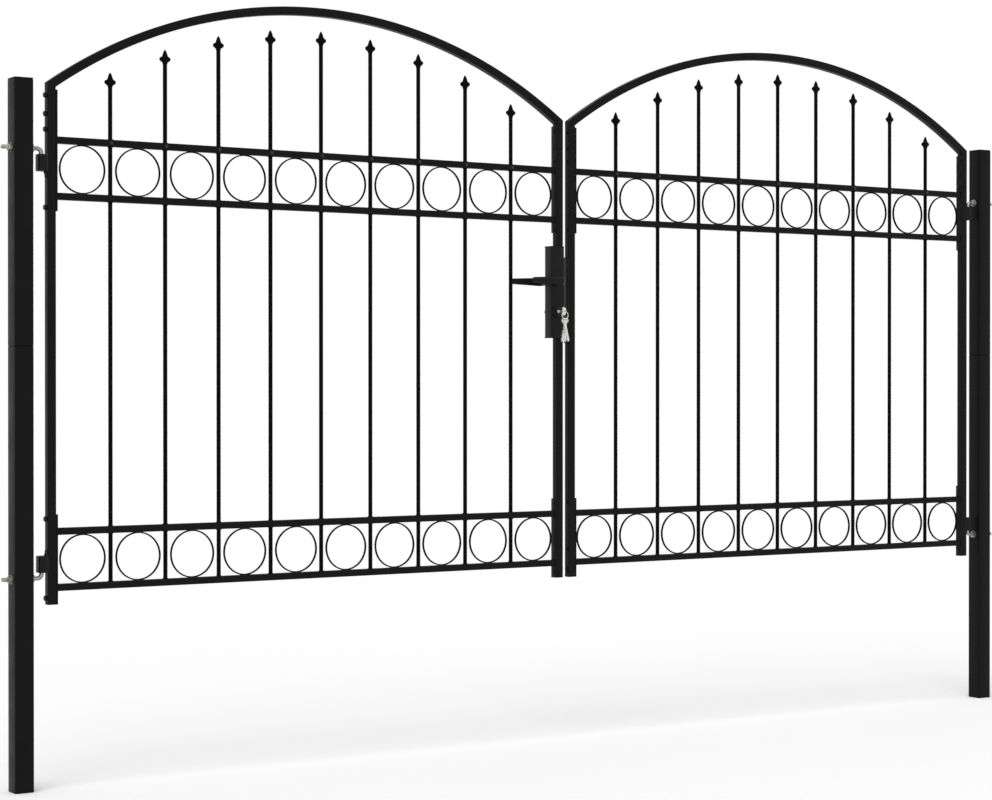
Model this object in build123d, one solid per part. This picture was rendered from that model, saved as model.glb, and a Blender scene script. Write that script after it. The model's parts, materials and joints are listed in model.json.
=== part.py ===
from build123d import *

import os
from math import cos, pi, sin, sqrt

# A double fence gate: two arched picket leaves hung on J-bolt hinges between square posts.
# All sizes are in millimetres. The origin is the middle of the left post's foot.
# X runs towards the right post, Y away from the lock's key side, and Z up.

# Layout between the outer faces of the posts
overall_width = 3000.0
hinge_gap = 38.0
leaf_gap = 18.0
ground_clearance = 417.0
leaf_frame_height = 1178.0

# Posts: square tube in two lengths on an inner sleeve, with a flat cap
post_side = 45.0
post_wall = 2.0
post_lower_length = 1000.0
post_top_margin = 5.0
post_cap_thickness = 4.0
sleeve_wall = 2.0
sleeve_length = 160.0
sleeve_clearance = 0.3

# Leaf frame: square tube stiles and a bent tube arch that stands on them
stile_side = 20.0
stile_wall = 1.5
arch_leg_length = 89.0
arch_rise = 227.0

# Ring bands: two rails with a row of rings between them
rail_side = 16.0
lower_band_lift = 30.0
upper_band_drop = 264.0
ring_diameter = 112.0
ring_thickness = 2.6
ring_depth = 5.0
ring_weld_depth = 0.6
ring_sides = 12
ring_play = 10.0
end_field_trim = 5.5

# End plates: flat bars that the rails are welded to, bolted to the stiles and the arch
plate_thickness = 4.0
lower_plate_reach = 31.0
upper_plate_reach = 26.0
upper_plate_margin = 16.0

# Pickets: few-sided bars through punched rails, each under a spear head
picket_diameter = 10.0
picket_sides = 8
punch_clearance = 0.15
spear_gap = 35.0
spear_height = 34.0
spear_body_diameter = 14.0
spear_lobe_span = 28.0
spear_lobe_diameter = 10.0
spear_lobe_drop = 21.0
spear_lobe_chamfer = 2.0
spear_lobe_sides = 6

# Hinges: a bent rod through each post, held by two nuts, in a block on the stile
upper_hinge_lift = 82.0
lower_hinge_lift = 62.0
hinge_rod_diameter = 10.0
hinge_rod_sides = 12
hinge_axis_offset = 12.0
hinge_bend_radius = 10.0
hinge_bend_mitres = 3
hinge_bend_gap = 2.5
hinge_rod_tail = 23.0
hinge_rod_inset = 2.0
hinge_running_clearance = 0.1
hinge_block_wall = 5.0
hinge_block_depth = 24.0
hinge_block_height = 38.0
hinge_block_rounding = 5.0
nut_across_flats = 16.0
nut_thickness = 8.0
bore_sides = 8

# Lock: a case let into the left leaf's meeting stile, with levers, a cylinder and keys
lock_drop = 35.0
lock_case_height = 236.0
lock_case_width = 41.0
lock_case_depth = 30.0
lock_backset = 24.0
forend_thickness = 2.0
forend_width = 20.0
forend_margin = 8.0
latch_throw = 4.0
latch_height = 18.0
latch_thickness = 11.0
latch_bevel_share = 0.75
lever_drop = 90.0
cylinder_drop = 78.0
cylinder_diameter = 17.0
cylinder_proud = 3.0
rose_diameter = 28.0
rose_thickness = 6.0
rose_sides = 16
fit_clearance = 0.1
spindle_side = 8.0
spindle_clearance = 0.3
spindle_socket_depth = 18.0
lever_length = 98.0
lever_reach = 33.0
lever_hub_diameter = 22.0
lever_tip_diameter = 16.0
lever_thickness = 10.0
lever_chamfer = 2.0
lever_sides = 12
lever_running_gap = 0.3
strike_thickness = 3.0
strike_height = 225.0
strike_drop = 19.5

# Keys: one in the cylinder, with a ring and spare keys hanging from its bow
key_bow_diameter = 22.0
key_bow_hole = 6.0
key_hole_inset = 5.0
key_thickness = 2.0
key_blade_width = 8.0
key_blade_length = 40.0
key_shank_length = 12.0
key_sides = 10
key_ring_diameter = 20.0
key_ring_section = 1.6
key_seat_gap = 0.65
spare_key_spacing = 3.5
spare_key_turn = 30.0
spare_key_angles = (-12.0, 1.0, 13.0)

# One overrun serves every cut
overrun = 1.0

# Places along X
right_post_x = overall_width - post_side
leaf_width = (overall_width - 2 * post_side - 2 * hinge_gap - leaf_gap) / 2
leaf_start = post_side / 2 + hinge_gap
leaf_end = leaf_start + leaf_width
leaf_middle = (leaf_start + leaf_end) / 2
hinge_axis_x = leaf_start - hinge_axis_offset
infill_start = leaf_start + stile_side
infill_end = leaf_end - stile_side
lock_x = leaf_end - lock_backset
gate_mirror = Plane(origin=(right_post_x / 2, 0, 0), z_dir=(1, 0, 0))

# As many ring fields as fit between the end plates, with a picket between each two
ring_row = infill_end - infill_start - 2 * plate_thickness + 2 * end_field_trim
ring_count = int(ring_row // (ring_diameter + picket_diameter + ring_play))
picket_pitch = ring_row / ring_count
ring_places = [leaf_middle + (i - (ring_count - 1) / 2) * picket_pitch for i in range(ring_count)]
picket_places = [x + picket_pitch / 2 for x in ring_places[:-1]]

# Heights
arch_corner = ground_clearance + leaf_frame_height
stile_top = arch_corner - arch_leg_length
arch_radius = ((leaf_width / 2) ** 2 + arch_rise ** 2) / (2 * arch_rise)
arch_centre = arch_corner + arch_rise - arch_radius
post_top = arch_corner + post_top_margin
rail_pitch = rail_side + ring_diameter - 2 * ring_weld_depth
lower_band_foot = ground_clearance + lower_band_lift
lower_band_top = lower_band_foot + rail_pitch + rail_side
upper_band_foot = arch_corner - upper_band_drop
upper_plate_foot = upper_band_foot - upper_plate_reach
upper_hinge = upper_band_foot + upper_hinge_lift
lower_hinge = lower_band_foot + lower_hinge_lift
hinge_rod_rise = hinge_block_height / 2 + hinge_bend_gap + hinge_bend_radius
upper_rod = upper_hinge + hinge_rod_rise
lower_rod = lower_hinge - hinge_rod_rise
lock_top = upper_plate_foot - lock_drop
lock_foot = lock_top - lock_case_height
lever_height = lock_top - lever_drop
cylinder_height = lever_height - cylinder_drop

# Depths, counted from the gate's middle plane
lock_face = lock_case_depth / 2
rose_face = lock_face + rose_thickness
cylinder_face = rose_face + cylinder_proud
lever_start = rose_face + lever_running_gap
key_hole_y = -cylinder_face - key_shank_length - key_bow_diameter + key_hole_inset

# Bores that more than one piece shares
rod_bore = hinge_rod_diameter + 2 * hinge_running_clearance
spindle_bore = spindle_side * sqrt(2) + 2 * spindle_clearance
cylinder_bore = cylinder_diameter + 2 * fit_clearance


def block(x_low, x_high, y_low, y_high, z_low, z_high):
    """A box given by its six faces."""
    middle = Pos((x_low + x_high) / 2, (y_low + y_high) / 2, (z_low + z_high) / 2)
    return middle * Box(x_high - x_low, y_high - y_low, z_high - z_low)


def prism_x(x_low, x_high, z, across_flats, sides):
    """A few-sided bar or bore along X, on the gate's middle plane."""
    section = RegularPolygon(across_flats / 2, sides, major_radius=False)
    return Pos(x_low, 0, z) * Rot(0, 90, 0) * extrude(section, amount=x_high - x_low)


def prism_y(x, y_low, y_high, z, diameter, sides):
    """A few-sided disc or bar along Y."""
    section = RegularPolygon(diameter / 2, sides)
    return Pos(x, y_high, z) * Rot(90, 0, 0) * extrude(section, amount=y_high - y_low)


def prism_z(x, z_low, z_high, diameter, sides):
    """A few-sided bar along Z, on the gate's middle plane."""
    return Pos(x, 0, z_low) * extrude(RegularPolygon(diameter / 2, sides), amount=z_high - z_low)


def upright_tube(x, z_low, z_high, side, wall):
    """A square tube that stands on end."""
    half = side / 2
    bore = half - wall
    outside = block(x - half, x + half, -half, half, z_low, z_high)
    return outside - block(x - bore, x + bore, -bore, bore, z_low - overrun, z_high + overrun)


def loose(pieces):
    """Separate solids that share a node."""
    return Compound([solid for piece in pieces for solid in piece.solids()])


def mirrored(shape):
    """The same piece on the other leaf or post."""
    return mirror(shape, about=gate_mirror)


# Posts


def post_length(z_low, z_high, rod_height):
    """One length of the left post, drilled for its hinge rod."""
    tube = upright_tube(0, z_low, z_high, post_side, post_wall)
    return tube - prism_x(-post_side, post_side, rod_height, rod_bore, bore_sides)


def post_sleeve():
    """The inner tube that joins the two lengths of a post."""
    side = post_side - 2 * post_wall - 2 * sleeve_clearance
    half = sleeve_length / 2
    return upright_tube(0, post_lower_length - half, post_lower_length + half, side, sleeve_wall)


def post_cap():
    """The flat cap that closes a post."""
    half = post_side / 2
    return block(-half, half, -half, half, post_top - post_cap_thickness, post_top)


# Hinges


def hinge_pin(rod_height, block_height):
    """A few-sided rod through the post, bent by mitres into the block, short of its far face."""
    up = 1 if block_height > rod_height else -1
    bend_x = hinge_axis_x - hinge_bend_radius
    bend_height = rod_height + up * hinge_bend_radius
    tail = (-post_side / 2 - hinge_rod_tail, 0, rod_height)
    tip = (hinge_axis_x, 0, block_height + up * (hinge_block_height / 2 - hinge_rod_inset))
    turn = pi / 2 / hinge_bend_mitres
    reach = hinge_bend_radius / cos(turn / 2)
    angles = [turn * i + turn / 2 for i in range(hinge_bend_mitres)]
    corners = [(bend_x + reach * sin(angle), 0, bend_height - up * reach * cos(angle)) for angle in angles]
    section = RegularPolygon(hinge_rod_diameter / 2, hinge_rod_sides)
    start = Plane(origin=tail, x_dir=(0, 1, 0), z_dir=(1, 0, 0)) * section
    return sweep(start, path=Polyline(tail, *corners, tip), transition=Transition.RIGHT)


def hinge_pins():
    """The upper rod, bent down, and the lower rod, bent up."""
    return loose([hinge_pin(upper_rod, upper_hinge), hinge_pin(lower_rod, lower_hinge)])


def hinge_nut(x_low, rod_height):
    """A hex nut on a hinge rod."""
    x_high = x_low + nut_thickness
    nut = prism_x(x_low, x_high, rod_height, nut_across_flats, 6)
    return nut - prism_x(x_low - overrun, x_high + overrun, rod_height, rod_bore, bore_sides)


def hinge_nuts():
    """The nuts that clamp each hinge rod between the faces of its post."""
    starts = (-post_side / 2 - nut_thickness, post_side / 2)
    return loose([hinge_nut(x, rod_height) for rod_height in (upper_rod, lower_rod) for x in starts])


def hinge_block(height):
    """The block on the stile that turns on the hinge rod."""
    half = hinge_block_height / 2
    half_depth = hinge_block_depth / 2
    x_low = hinge_axis_x - hinge_rod_diameter / 2 - hinge_block_wall
    body = block(x_low, leaf_start, -half_depth, half_depth, height - half, height + half)
    post_side_edges = body.edges().filter_by(Axis.Z).group_by(Axis.X)[0]
    body = fillet(post_side_edges, hinge_block_rounding)
    return body - Pos(hinge_axis_x, 0, height) * Cylinder(rod_bore / 2, hinge_block_height + 2 * overrun)


def hinge_blocks():
    """The upper and lower blocks of a leaf."""
    return loose([hinge_block(upper_hinge), hinge_block(lower_hinge)])


# Leaf frame


def hinge_stile():
    """The stile that carries the hinge blocks."""
    return upright_tube(leaf_start + stile_side / 2, ground_clearance, stile_top, stile_side, stile_wall)


def meeting_stile():
    """The stile at the meeting side of a leaf, in one length."""
    return upright_tube(leaf_end - stile_side / 2, ground_clearance, stile_top, stile_side, stile_wall)


def lock_stile():
    """The meeting stile of the left leaf, in two lengths below and above the lock case."""
    x = leaf_end - stile_side / 2
    lengths = ((ground_clearance, lock_foot), (lock_top, stile_top))
    return loose([upright_tube(x, z_low, z_high, stile_side, stile_wall) for z_low, z_high in lengths])


def arch_outline(inset, foot):
    """The arch's tube, or with an inset its bore: two upright legs under a round arc."""
    half = stile_side / 2 - inset
    top = arch_corner + arch_rise
    centre = Pos(leaf_middle, 0, arch_centre) * Rot(90, 0, 0)
    reach = stile_side - inset
    outside = block(leaf_start + inset, leaf_end - inset, -half, half, foot, top)
    outside = outside & centre * Cylinder(arch_radius - inset, stile_side)
    inside = block(leaf_start + reach, leaf_end - reach, -stile_side, stile_side, foot - overrun, top)
    inside = inside & centre * Cylinder(arch_radius - reach, 2 * stile_side)
    return outside - inside


def arch():
    """The bent tube over a leaf."""
    return arch_outline(0, stile_top) - arch_outline(stile_wall, stile_top - overrun)


# Infill


def rail(z_low, punched):
    """A level bar between the end plates, punched where the pickets pass through."""
    half = rail_side / 2
    z_high = z_low + rail_side
    bar = block(infill_start + plate_thickness, infill_end - plate_thickness, -half, half, z_low, z_high)
    if not punched:
        return bar
    hole = picket_diameter + 2 * punch_clearance
    return bar - [prism_z(x, z_low - overrun, z_high + overrun, hole, picket_sides) for x in picket_places]


def ring(x, z):
    """A flat strip bent to a ring that faces along the gate's depth."""
    half = ring_depth / 2
    outside = prism_y(x, -half, half, z, ring_diameter, ring_sides)
    inner_diameter = ring_diameter - 2 * ring_thickness
    return outside - prism_y(x, -ring_depth, ring_depth, z, inner_diameter, ring_sides)


def band(foot, foot_punched):
    """Two rails with the rings welded between them."""
    ring_height = foot + (rail_pitch + rail_side) / 2
    rings = [ring(x, ring_height) for x in ring_places]
    return rail(foot, foot_punched) + rings + rail(foot + rail_pitch, True)


def end_plates():
    """The plates at both ends of both bands."""
    half = stile_side / 2
    starts = (infill_start, infill_end - plate_thickness)
    spans = (
        (ground_clearance, lower_band_top + lower_plate_reach),
        (upper_plate_foot, arch_corner - upper_plate_margin),
    )
    return loose([block(x, x + plate_thickness, -half, half, *span) for x in starts for span in spans])


def spear_tip(x):
    """The height of a spear's tip: all tips lie on an arc inside the arch's underside."""
    radius = arch_radius - stile_side - spear_gap
    return arch_centre + sqrt(radius ** 2 - (x - leaf_middle) ** 2)


def spear_foot(x):
    """The height where a spear head stands on its picket."""
    return spear_tip(x) - spear_height


def pickets():
    """All the bars of a leaf, from the bottom rail to the spear heads."""
    foot = lower_band_foot + rail_side
    return loose([prism_z(x, foot, spear_foot(x), picket_diameter, picket_sides) for x in picket_places])


def spear_head(x):
    """A cast spear head: a leaf-shaped point with a lobe at each side, on the end of its picket."""
    tip = spear_tip(x)
    waist = tip - spear_lobe_drop
    around = RegularPolygon(spear_body_diameter / 2, picket_sides)
    narrow = RegularPolygon(picket_diameter / 2, picket_sides)
    point = loft([Pos(x, 0, waist) * around, Vertex(x, 0, tip)])
    body = loft([Pos(x, 0, spear_foot(x)) * narrow, Pos(x, 0, waist) * around])
    section = RegularPolygon(spear_lobe_diameter / 2, spear_lobe_sides)
    lobes = Pos(x - spear_lobe_span / 2, 0, waist) * Rot(0, 90, 0) * extrude(section, amount=spear_lobe_span)
    ends = lobes.faces().sort_by(Axis.X)
    lobes = chamfer(ends[0].edges() + ends[-1].edges(), spear_lobe_chamfer)
    return body + [point, lobes]


def spear_heads():
    """All the spear heads of a leaf."""
    return loose([spear_head(x) for x in picket_places])


# Lock


def lock_case():
    """The case that interrupts the meeting stile, bored for the spindle and the cylinder."""
    body = block(leaf_end - lock_case_width, leaf_end, -lock_face, lock_face, lock_foot, lock_top)
    through = lock_face + overrun
    cylinder_hole = prism_y(lock_x, -through, through, cylinder_height, cylinder_bore, rose_sides)
    spindle_hole = Rot(90, 0, 0) * Cylinder(spindle_bore / 2, 2 * through)
    return body - cylinder_hole - Pos(lock_x, 0, lever_height) * spindle_hole


def lock_forend():
    """The plate on the case's meeting face."""
    half = forend_width / 2
    x_high = leaf_end + forend_thickness
    return block(leaf_end, x_high, -half, half, lock_foot + forend_margin, lock_top - forend_margin)


def latch_bolt():
    """The nose of the latch, drawn back to just outside the forend."""
    half_height = latch_height / 2
    half = latch_thickness / 2
    foot = leaf_end + forend_thickness
    z_low = lever_height - half_height
    nose = block(foot, foot + latch_throw, -half, half, z_low, z_low + latch_height)
    leading_edge = nose.edges().filter_by(Axis.Z).group_by(Axis.X)[-1].sort_by(Axis.Y)[-1:]
    return chamfer(leading_edge, latch_throw * latch_bevel_share)


def rose(z, bore, y_low):
    """A round rose on one face of the lock case."""
    y_high = y_low + rose_thickness
    disc = prism_y(lock_x, y_low, y_high, z, rose_diameter, rose_sides)
    return disc - prism_y(lock_x, y_low - overrun, y_high + overrun, z, bore, rose_sides)


def lock_roses():
    """The roses of the levers and of the cylinder, front and back."""
    starts = (-rose_face, lock_face)
    bores = ((lever_height, spindle_bore), (cylinder_height, cylinder_bore))
    return loose([rose(z, bore, y) for z, bore in bores for y in starts])


def lock_cylinder():
    """The lock's cylinder, a little proud of both roses."""
    return prism_y(lock_x, -cylinder_face, cylinder_face, cylinder_height, cylinder_diameter, rose_sides)


def back_lever():
    """A lever handle: a hub on the spindle and a tapering arm away from the meeting edge."""
    lever_end = lever_start + lever_reach
    tip_radius = lever_tip_diameter / 2
    hub_round = RegularPolygon(lever_hub_diameter / 2, lever_sides)
    tip_round = Pos(tip_radius - lever_length, 0) * RegularPolygon(tip_radius, lever_sides)
    outline = make_hull(hub_round.edges() + tip_round.edges())
    arm = Pos(lock_x, lever_end, lever_height) * Rot(90, 0, 0) * extrude(outline, amount=lever_thickness)
    faces = arm.faces().sort_by(Axis.Y)
    arm = chamfer(faces[0].edges() + faces[-1].edges(), lever_chamfer)
    neck_diameter = lever_hub_diameter - 2 * lever_chamfer
    arm_middle = lever_end - lever_thickness / 2
    hub = prism_y(lock_x, lever_start, arm_middle, lever_height, neck_diameter, rose_sides)
    half = spindle_side / 2 + fit_clearance
    z_low = lever_height - half
    socket_end = lever_start + spindle_socket_depth
    socket = block(lock_x - half, lock_x + half, lever_start - overrun, socket_end, z_low, z_low + 2 * half)
    return hub + arm - socket


def front_lever():
    """The same lever on the key side."""
    return mirror(back_lever(), about=Plane.XZ)


def lever_spindle():
    """The square bar through the case that joins the two levers."""
    half = spindle_side / 2
    reach = lever_start + spindle_socket_depth - fit_clearance
    return block(lock_x - half, lock_x + half, -reach, reach, lever_height - half, lever_height + half)


def strike_plate():
    """The plate on the right leaf's meeting stile that the latch closes against."""
    stile_face = right_post_x - leaf_end
    half = stile_side / 2
    middle = (lock_foot + lock_top) / 2 - strike_drop
    half_height = strike_height / 2
    return block(
        stile_face - strike_thickness, stile_face, -half, half, middle - half_height, middle + half_height
    )


# Keys


def flat_key(blade_length):
    """A key across the gate, hole up, with the middle of its hole at the origin."""
    bow_radius = key_bow_diameter / 2
    hole_place = bow_radius - key_hole_inset
    blade_foot = -bow_radius - blade_length
    bow = RegularPolygon(bow_radius, key_sides)
    blade = Pos(0, blade_foot / 2) * Rectangle(key_blade_width, -blade_foot)
    outline = bow + blade - Pos(0, hole_place) * RegularPolygon(key_bow_hole / 2, key_sides)
    return extrude(Plane.YZ * Pos(0, -hole_place) * outline, amount=key_thickness / 2, both=True)


def lock_key():
    """The key in the cylinder, whose shank meets the cylinder's face."""
    return Pos(lock_x, key_hole_y, cylinder_height) * Rot(90, 0, 0) * flat_key(key_shank_length)


def key_ring_height():
    """The middle of the ring, which hangs in the hole of the key in the lock."""
    inner_radius = key_ring_diameter / 2 - key_ring_section
    return cylinder_height - key_bow_hole / 2 + key_seat_gap - inner_radius


def key_ring():
    """The flat ring that the spare keys hang on."""
    half = key_ring_section / 2
    z = key_ring_height()
    outside = prism_y(lock_x, key_hole_y - half, key_hole_y + half, z, key_ring_diameter, rose_sides)
    inner_diameter = key_ring_diameter - 2 * key_ring_section
    y_low = key_hole_y - key_ring_section
    y_high = key_hole_y + key_ring_section
    return outside - prism_y(lock_x, y_low, y_high, z, inner_diameter, rose_sides)


def spare_keys():
    """The spare keys, side by side on the ring and fanned out a little."""
    inner_radius = key_ring_diameter / 2 - key_ring_section
    keys = []
    for i, angle in enumerate(spare_key_angles):
        offset = (i - (len(spare_key_angles) - 1) / 2) * spare_key_spacing
        outer_offset = abs(offset) + key_thickness / 2
        seat = key_ring_height() - sqrt(inner_radius ** 2 - outer_offset ** 2) + key_seat_gap
        place = Pos(lock_x + offset, key_hole_y, seat - key_bow_hole / 2)
        turned = Rot(0, 0, spare_key_turn) * Rot(angle, 0, 0)
        keys.append(place * turned * flat_key(key_blade_length))
    return loose(keys)


# The whole gate


def left_and_right(name, shape):
    """A piece of the left half under its name, and its mirror image."""
    return {f"left_{name}": shape, f"right_{name}": mirrored(shape)}


def posts():
    """The fixed half of the gate: posts, hinge rods and their nuts."""
    nodes = left_and_right("post_lower", post_length(0, post_lower_length, lower_rod))
    tube_top = post_top - post_cap_thickness
    nodes |= left_and_right("post_upper", post_length(post_lower_length, tube_top, upper_rod))
    nodes |= left_and_right("post_sleeve", post_sleeve())
    nodes |= left_and_right("post_cap", post_cap())
    nodes |= left_and_right("hinge_pins", hinge_pins())
    nodes |= left_and_right("hinge_nuts", hinge_nuts())
    return nodes


def leaves():
    """Both leaves without the lock: frames, ring bands, pickets and hinge blocks."""
    nodes = left_and_right("hinge_stile", hinge_stile())
    nodes |= {"left_lock_stile": lock_stile(), "right_meeting_stile": mirrored(meeting_stile())}
    nodes |= left_and_right("arch", arch())
    nodes |= left_and_right("lower_band", band(lower_band_foot, False))
    nodes |= left_and_right("upper_band", band(upper_band_foot, True))
    nodes |= left_and_right("end_plates", end_plates())
    nodes |= left_and_right("pickets", pickets())
    nodes |= left_and_right("spear_heads", spear_heads())
    nodes |= left_and_right("hinge_blocks", hinge_blocks())
    return nodes


def lock():
    """The lock of the left leaf, its levers and keys, and the strike on the right leaf."""
    return {
        "lock_case": lock_case(),
        "lock_forend": lock_forend(),
        "latch_bolt": latch_bolt(),
        "lock_roses": lock_roses(),
        "lock_cylinder": lock_cylinder(),
        "front_lever": front_lever(),
        "back_lever": back_lever(),
        "lever_spindle": lever_spindle(),
        "lock_key": lock_key(),
        "key_ring": key_ring(),
        "spare_keys": spare_keys(),
        "right_strike_plate": strike_plate(),
    }


os.makedirs("parts", exist_ok=True)
for node, solid in (posts() | leaves() | lock()).items():
    export_step(solid, f"parts/{node}.step")
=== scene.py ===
import json
from math import atan2, ceil, cos, pi, radians, sin, sqrt

import bmesh
import bpy
from mathutils import Matrix, Vector, noise


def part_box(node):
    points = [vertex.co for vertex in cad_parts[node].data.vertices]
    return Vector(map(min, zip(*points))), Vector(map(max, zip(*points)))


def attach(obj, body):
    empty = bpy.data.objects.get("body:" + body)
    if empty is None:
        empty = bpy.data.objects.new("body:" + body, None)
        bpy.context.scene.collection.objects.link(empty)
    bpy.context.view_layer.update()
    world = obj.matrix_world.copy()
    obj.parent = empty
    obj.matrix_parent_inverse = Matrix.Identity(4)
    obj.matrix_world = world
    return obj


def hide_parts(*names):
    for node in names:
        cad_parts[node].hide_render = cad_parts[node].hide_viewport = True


# The dressed double fence gate. All sizes are in metres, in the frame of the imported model.
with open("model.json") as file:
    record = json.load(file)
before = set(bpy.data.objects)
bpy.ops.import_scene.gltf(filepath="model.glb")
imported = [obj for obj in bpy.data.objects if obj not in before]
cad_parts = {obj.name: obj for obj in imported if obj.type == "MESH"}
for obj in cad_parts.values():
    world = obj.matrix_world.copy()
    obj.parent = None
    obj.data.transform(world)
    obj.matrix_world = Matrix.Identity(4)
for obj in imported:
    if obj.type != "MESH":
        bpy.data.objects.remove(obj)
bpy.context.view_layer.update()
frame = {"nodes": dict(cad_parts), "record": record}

# Camera: the photo's viewing angle, with the image taken as 992 by 800
camera_place = (-1.9549, -4.9763, 0.9091)
camera_turn_deg = -32.933
camera_tilt_deg = -0.328
camera_lens_mm = 84.87
sensor_width_mm = 36.0

# Studio: an even sky and one broad lamp from the upper left, which together make the floor white
sky_share = 0.72
lamp_strength = 1.10
lamp_spread_deg = 40.0
lamp_from = (-2.0, -1.6, 3.6)
floor_reach = 40.0
floor_shade = (0.985, 0.985, 0.985)
floor_white = (1.0, 1.0, 1.0)
floor_pattern_scale = 0.8
floor_roughness = 0.9

# Meshes: when two points count as one, and the angles from which an edge stays sharp
same_point_distance = 1e-7
same_point_digits = 6
same_column_digits = 4
crisp_deg = 25
edge_deg = 35
soft_deg = 50
lumpy_deg = 60

# Tube and bar finish
post_corner_radius = 0.0035
stile_corner_radius = 0.0020
rail_corner_radius = 0.0015
tube_end_bevel = 0.0004
post_seam_bevel = 0.0010
block_edge_bevel = 0.0008
plate_corner_radius = 0.0012
post_wall = 0.0020
stile_wall = 0.0015
corner_steps = 4
arch_steps = 72
bar_steps = 24

# Rings and welds
ring_thickness = 0.0031
ring_depth = 0.0056
ring_corner_radius = 0.0006
ring_corner_steps = 2
ring_steps = 64
ring_weld_depth = 0.0006
ring_bead_length = 0.0150
ring_bead_height = 0.0030
ring_bead_depth_share = 0.62
ring_bead_sink = 0.0006
ring_bead_steps = 12
ring_bead_lump_scale = 10.5
bead_radius = 0.0014
bead_steps = 28
bead_section_steps = 8
bead_point_spacing = 0.0040
bead_unevenness = 0.35
bead_lump_scale = 420.0
bead_end_share = 0.02
picket_bead_out_share = 0.40
plug_weld_diameter = 0.0085
plug_weld_height = 0.0020

# Spear heads: rows of a drop below the tip, half the width and half the thickness, as shares
spear_profile_shares = (
    (0.000, 0.03, 0.03),
    (0.035, 0.10, 0.09),
    (0.118, 0.21, 0.17),
    (0.235, 0.33, 0.24),
    (0.353, 0.42, 0.29),
    (0.441, 0.50, 0.32),
    (0.488, 0.62, 0.33),
    (0.522, 0.79, 0.34),
    (0.560, 0.92, 0.34),
    (0.606, 0.99, 0.34),
    (0.656, 1.00, 0.34),
    (0.706, 0.98, 0.34),
    (0.754, 0.90, 0.35),
    (0.798, 0.76, 0.35),
    (0.840, 0.60, 0.36),
    (0.882, 0.47, 0.36),
    (0.930, 0.41, 0.38),
    (0.971, 0.40, 0.39),
    (1.000, 0.37, 0.36),
)
spear_rings_a_row = 3
spear_steps = 28
spear_squareness = 2.6

# Bolts between the stiles and the end plates, and the stops in the gap between the leaves
bolt_flats = 0.0100
bolt_head_height = 0.0046
bolt_flange_diameter = 0.0122
bolt_flange_thickness = 0.0012
bolt_flange_rim_share = 0.60
bolt_flange_top_share = 0.94
bolt_dome_diameter = 0.0115
bolt_dome_height = 0.0030
bolt_end_diameter = 0.0080
bolt_end_height = 0.0012
bolts_above_seam = (0.060, 0.018, -0.017)
bolt_above_upper_plate_foot = 0.008
bolt_below_lower_plate_top = 0.010
bolt_above_lower_plate_foot = 0.015
stops_above_foot = (0.021, 0.073)
stop_diameter = 0.0110
stop_height = 0.0045
bolt_steps = 24
dome_rows = 7
dome_rim_share = 0.30
dome_tip_share = 0.01

# Hinge rods, nuts and washers
thread_pitch = 0.00150
thread_depth = 0.0008
thread_rows_a_pitch = 5
thread_past_nut = 0.003
rod_steps = 20
rod_end_chamfer = 0.0010
rod_bend_radius = 0.0100
rod_bend_steps = 12
washer_diameter = 0.0200
washer_thickness = 0.0015
nut_bore_share = 0.63
block_corner_radius = 0.0050
lug_bore_clearance = 0.0001
lug_seat_share = 0.70
lug_seat_steps = 3
lug_weld_length = 0.0170
lug_weld_rise = 0.0055
lug_weld_half_width = 0.0060
lug_weld_sink_share = 0.05
lug_weld_lumps = 9
lug_weld_rows = 10
lug_weld_steps = 16
hex_steps = 48
hex_chamfer_share = 0.93
hex_face_share = 1.02

# Lock, levers and keys
case_corner_radius = 0.0025
case_lip = 0.0012
case_lip_height = 0.0022
rose_bevel = 0.0015
rose_bore_share = 0.32
cylinder_bevel = 0.0005
round_steps = 48
lever_bend_radius = 0.0110
lever_steps = 28
lever_bend_steps = 10
lever_arm_steps = 22
lever_tip_steps = 6
lever_root_radius = 0.0095
lever_neck_share = 0.96
lever_arm_height = 0.0215
lever_tip_height = 0.0150
lever_arm_thickness = 0.0105
lever_tip_thickness = 0.0085
lever_end_share = 0.02
face_plate_round_share = 1 / 3
face_plate_corner_steps = 8
screw_head_diameter = 0.0070
screw_head_height = 0.0008
screw_top_share = 0.80
screw_inset = 0.0110
screw_steps = 24
plug_share = 0.50
plug_thickness = 0.0008
keyway_width = 0.0026
keyway_height = 0.0070
key_thickness = 0.0020
key_bevel = 0.0003
key_bow_hole = 0.0060
key_bow_steps = 32
key_hole_steps = 24
key_blade_share = 0.72
key_notch_depths = (0.0012, 0.0024, 0.0008, 0.0019, 0.0028, 0.0014)
key_notches_left_plain = 1.5
key_notch_flat_share = 0.40
key_notch_rise_share = 0.70
key_notch_crest_share = 0.25
key_hole_inset = 0.0050
spare_key_bow_radius = 0.0068
spare_key_blade = 0.0480
spare_key_spacing = 0.0035
spare_key_turn_deg = 30.0
spare_key_angles_deg = (-12.0, 1.0, 13.0)
ring_wire_radius = 0.0008
ring_wire_steps = 10
split_ring_turns = 2.0
split_ring_steps_a_turn = 40
split_ring_spread_share = 2.2


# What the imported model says


def islands(node):
    """The boxes of a node's separate solids, ordered by X and then Z, as pairs of corners."""
    mesh = frame["nodes"][node].data
    spots = [tuple(round(value, same_point_digits) for value in vertex.co) for vertex in mesh.vertices]
    leader = {spot: spot for spot in spots}

    def lead(spot):
        while leader[spot] != spot:
            leader[spot] = leader[leader[spot]]
            spot = leader[spot]
        return spot

    for edge in mesh.edges:
        first, second = (lead(spots[i]) for i in edge.vertices)
        leader[first] = second
    groups = {}
    for spot in leader:
        groups.setdefault(lead(spot), []).append(spot)
    boxes = [(Vector(map(min, zip(*group))), Vector(map(max, zip(*group)))) for group in groups.values()]
    return sorted(boxes, key=lambda box: (round(box[0].x, same_column_digits), box[0].z))


def middle(box):
    """The middle of a box."""
    return (box[0] + box[1]) / 2


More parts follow.
